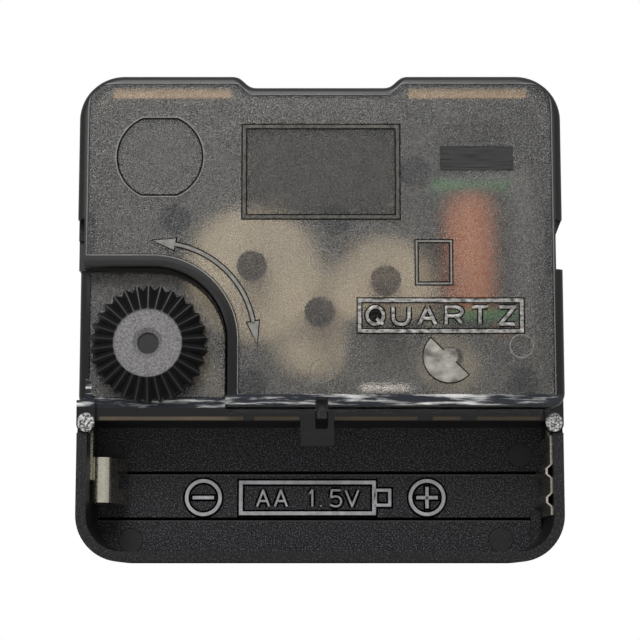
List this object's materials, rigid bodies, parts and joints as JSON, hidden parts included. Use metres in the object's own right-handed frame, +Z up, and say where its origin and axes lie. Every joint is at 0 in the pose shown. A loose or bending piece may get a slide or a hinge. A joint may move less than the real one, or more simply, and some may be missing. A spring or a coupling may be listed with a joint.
{
  "type": "quartz clock movement",
  "caption": "Square battery clock movement with a smoked cover over its gear train, a setting knob, an AA battery bay and a threaded bush for the hands.",
  "frame": {"origin": "hand axis at the dial-side face of the case", "axes": "+Y out of the dial along the hand shafts, +Z up as the movement hangs, +X to the right seen from behind"},
  "size_m": [0.0562, 0.0287, 0.0565],
  "materials": {
    "case_black": "fine spark-eroded texture",
    "cover_smoke": "smoke translucent, fine texture with polished edges",
    "knob_black": "satin moulded",
    "gear_cream": "natural acetal",
    "gear_black": "moulded acetal",
    "plate_black": "moulded",
    "brass": "turned",
    "steel": "ground",
    "spring_steel": "bright",
    "contact_nickel": "nickel plated strip",
    "stator_steel": "dark annealed",
    "magnet_grey": "sintered",
    "copper": "enamelled copper wire",
    "bobbin_green": "moulded",
    "board_dark": "laminate with dark resist",
    "potting_black": "epoxy",
    "can_silver": "plain"
  },
  "bodies": {
    "case": {"front_case": "case_black", "back_cover": "cover_smoke", "threaded_bush": "brass", "transfer_post": "steel", "train_plate": "plate_black", "stator_upper": "stator_steel", "stator_lower": "stator_steel", "coil_core": "stator_steel", "coil_bobbin": "bobbin_green", "coil_winding": "copper", "coil_tags": "copper", "circuit_board": "board_dark", "chip_potting": "potting_black", "crystal_can": "can_silver", "negative_contact": "contact_nickel", "positive_contact": "contact_nickel"},
    "setting_arbor": {"setting_arbor": "gear_black", "setting_knob": "knob_black"},
    "transfer_wheel": {"transfer_wheel": "gear_cream"},
    "minute_pipe": {"minute_pipe": "brass"},
    "hour_wheel": {"hour_wheel": "gear_black"},
    "centre_wheel": {"centre_wheel": "gear_black", "clutch_spring": "spring_steel"},
    "third_wheel": {"third_wheel": "gear_cream"},
    "seconds_wheel": {"seconds_wheel": "gear_cream", "seconds_arbor": "steel"},
    "second_reduction_wheel": {"second_reduction_wheel": "gear_cream"},
    "first_reduction_wheel": {"first_reduction_wheel": "gear_cream"},
    "rotor": {"rotor": "gear_cream", "rotor_magnet": "magnet_grey", "rotor_pivot": "steel"}
  },
  "joints": [
    {"name": "setting_turn", "type": "hinge", "parent": "case", "child": "setting_arbor", "pos_m": [-0.01983, -0.0029, -0.0036], "axis": [0, 1, 0], "continuous": true},
    {"name": "transfer_turn", "type": "hinge", "parent": "case", "child": "transfer_wheel", "pos_m": [-0.00892, -0.0029, -0.0029], "axis": [0, 1, 0], "continuous": true},
    {"name": "minute_turn", "type": "hinge", "parent": "case", "child": "minute_pipe", "pos_m": [0, -0.0029, 0], "axis": [0, 1, 0], "continuous": true},
    {"name": "hour_turn", "type": "hinge", "parent": "case", "child": "hour_wheel", "pos_m": [0, -0.0018, 0], "axis": [0, 1, 0], "continuous": true},
    {"name": "seconds_turn", "type": "hinge", "parent": "case", "child": "seconds_wheel", "pos_m": [0, -0.0065, 0], "axis": [0, 1, 0], "continuous": true},
    {"name": "centre_turn", "type": "hinge", "parent": "case", "child": "centre_wheel", "pos_m": [0, -0.0041, 0], "axis": [0, 1, 0], "continuous": true},
    {"name": "third_turn", "type": "hinge", "parent": "case", "child": "third_wheel", "pos_m": [-0.0079, -0.0078, 0.00541], "axis": [0, 1, 0], "continuous": true},
    {"name": "second_reduction_turn", "type": "hinge", "parent": "case", "child": "second_reduction_wheel", "pos_m": [0.00759, -0.0078, 0.0037], "axis": [0, 1, 0], "continuous": true},
    {"name": "first_reduction_turn", "type": "hinge", "parent": "case", "child": "first_reduction_wheel", "pos_m": [0.0083, -0.0091, -0.00346], "axis": [0, 1, 0], "continuous": true},
    {"name": "rotor_turn", "type": "hinge", "parent": "case", "child": "rotor", "pos_m": [0.01528, -0.0081, -0.0052], "axis": [0, 1, 0], "continuous": true}
  ],
  "couplings": [
    {"joint": "transfer_turn", "follows": "setting_turn", "ratio": -0.55556},
    {"joint": "minute_turn", "follows": "setting_turn", "ratio": 1.6667},
    {"joint": "hour_turn", "follows": "setting_turn", "ratio": 0.13889},
    {"joint": "second_reduction_turn", "follows": "seconds_turn", "ratio": -4},
    {"joint": "first_reduction_turn", "follows": "seconds_turn", "ratio": 28},
    {"joint": "rotor_turn", "follows": "seconds_turn", "ratio": -196},
    {"joint": "third_turn", "follows": "seconds_turn", "ratio": -0.16667},
    {"joint": "centre_turn", "follows": "seconds_turn", "ratio": 0.016667}
  ]
}
